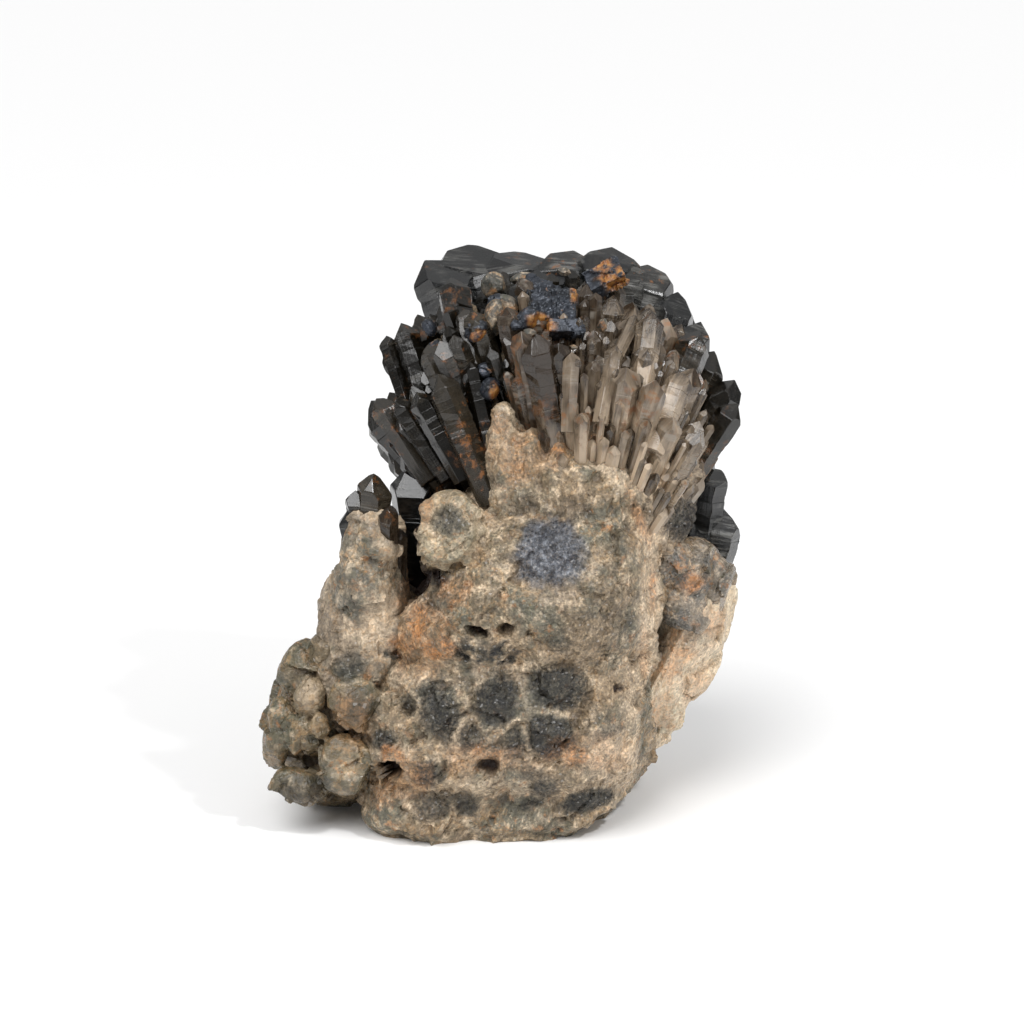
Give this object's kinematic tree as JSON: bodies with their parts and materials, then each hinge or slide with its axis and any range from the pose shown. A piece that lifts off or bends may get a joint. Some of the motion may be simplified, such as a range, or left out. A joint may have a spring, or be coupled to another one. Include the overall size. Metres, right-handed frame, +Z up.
{
  "type": "smoky quartz cluster",
  "caption": "Free-standing smoky quartz specimen: a fan of radiating crystals over a lumpy, pale quartz body, for display on a shelf or table.",
  "frame": {"origin": "middle of the bounding box's bottom face, on the flat cut that the specimen rests on", "axes": "+Z up, the longest extent; the broken side with the crystals' roots faces -Y; +X to its right"},
  "size_m": [0.1227, 0.0965, 0.1378],
  "materials": {
    "smoky_quartz": "milky beige quartz at the crystals' roots, clearing to smoky brown and near-black tips with a glassy lustre, and orange iron stain in the cracks"
  },
  "bodies": {
    "root": {"quartz_cluster": "smoky_quartz"}
  },
  "joints": []
}
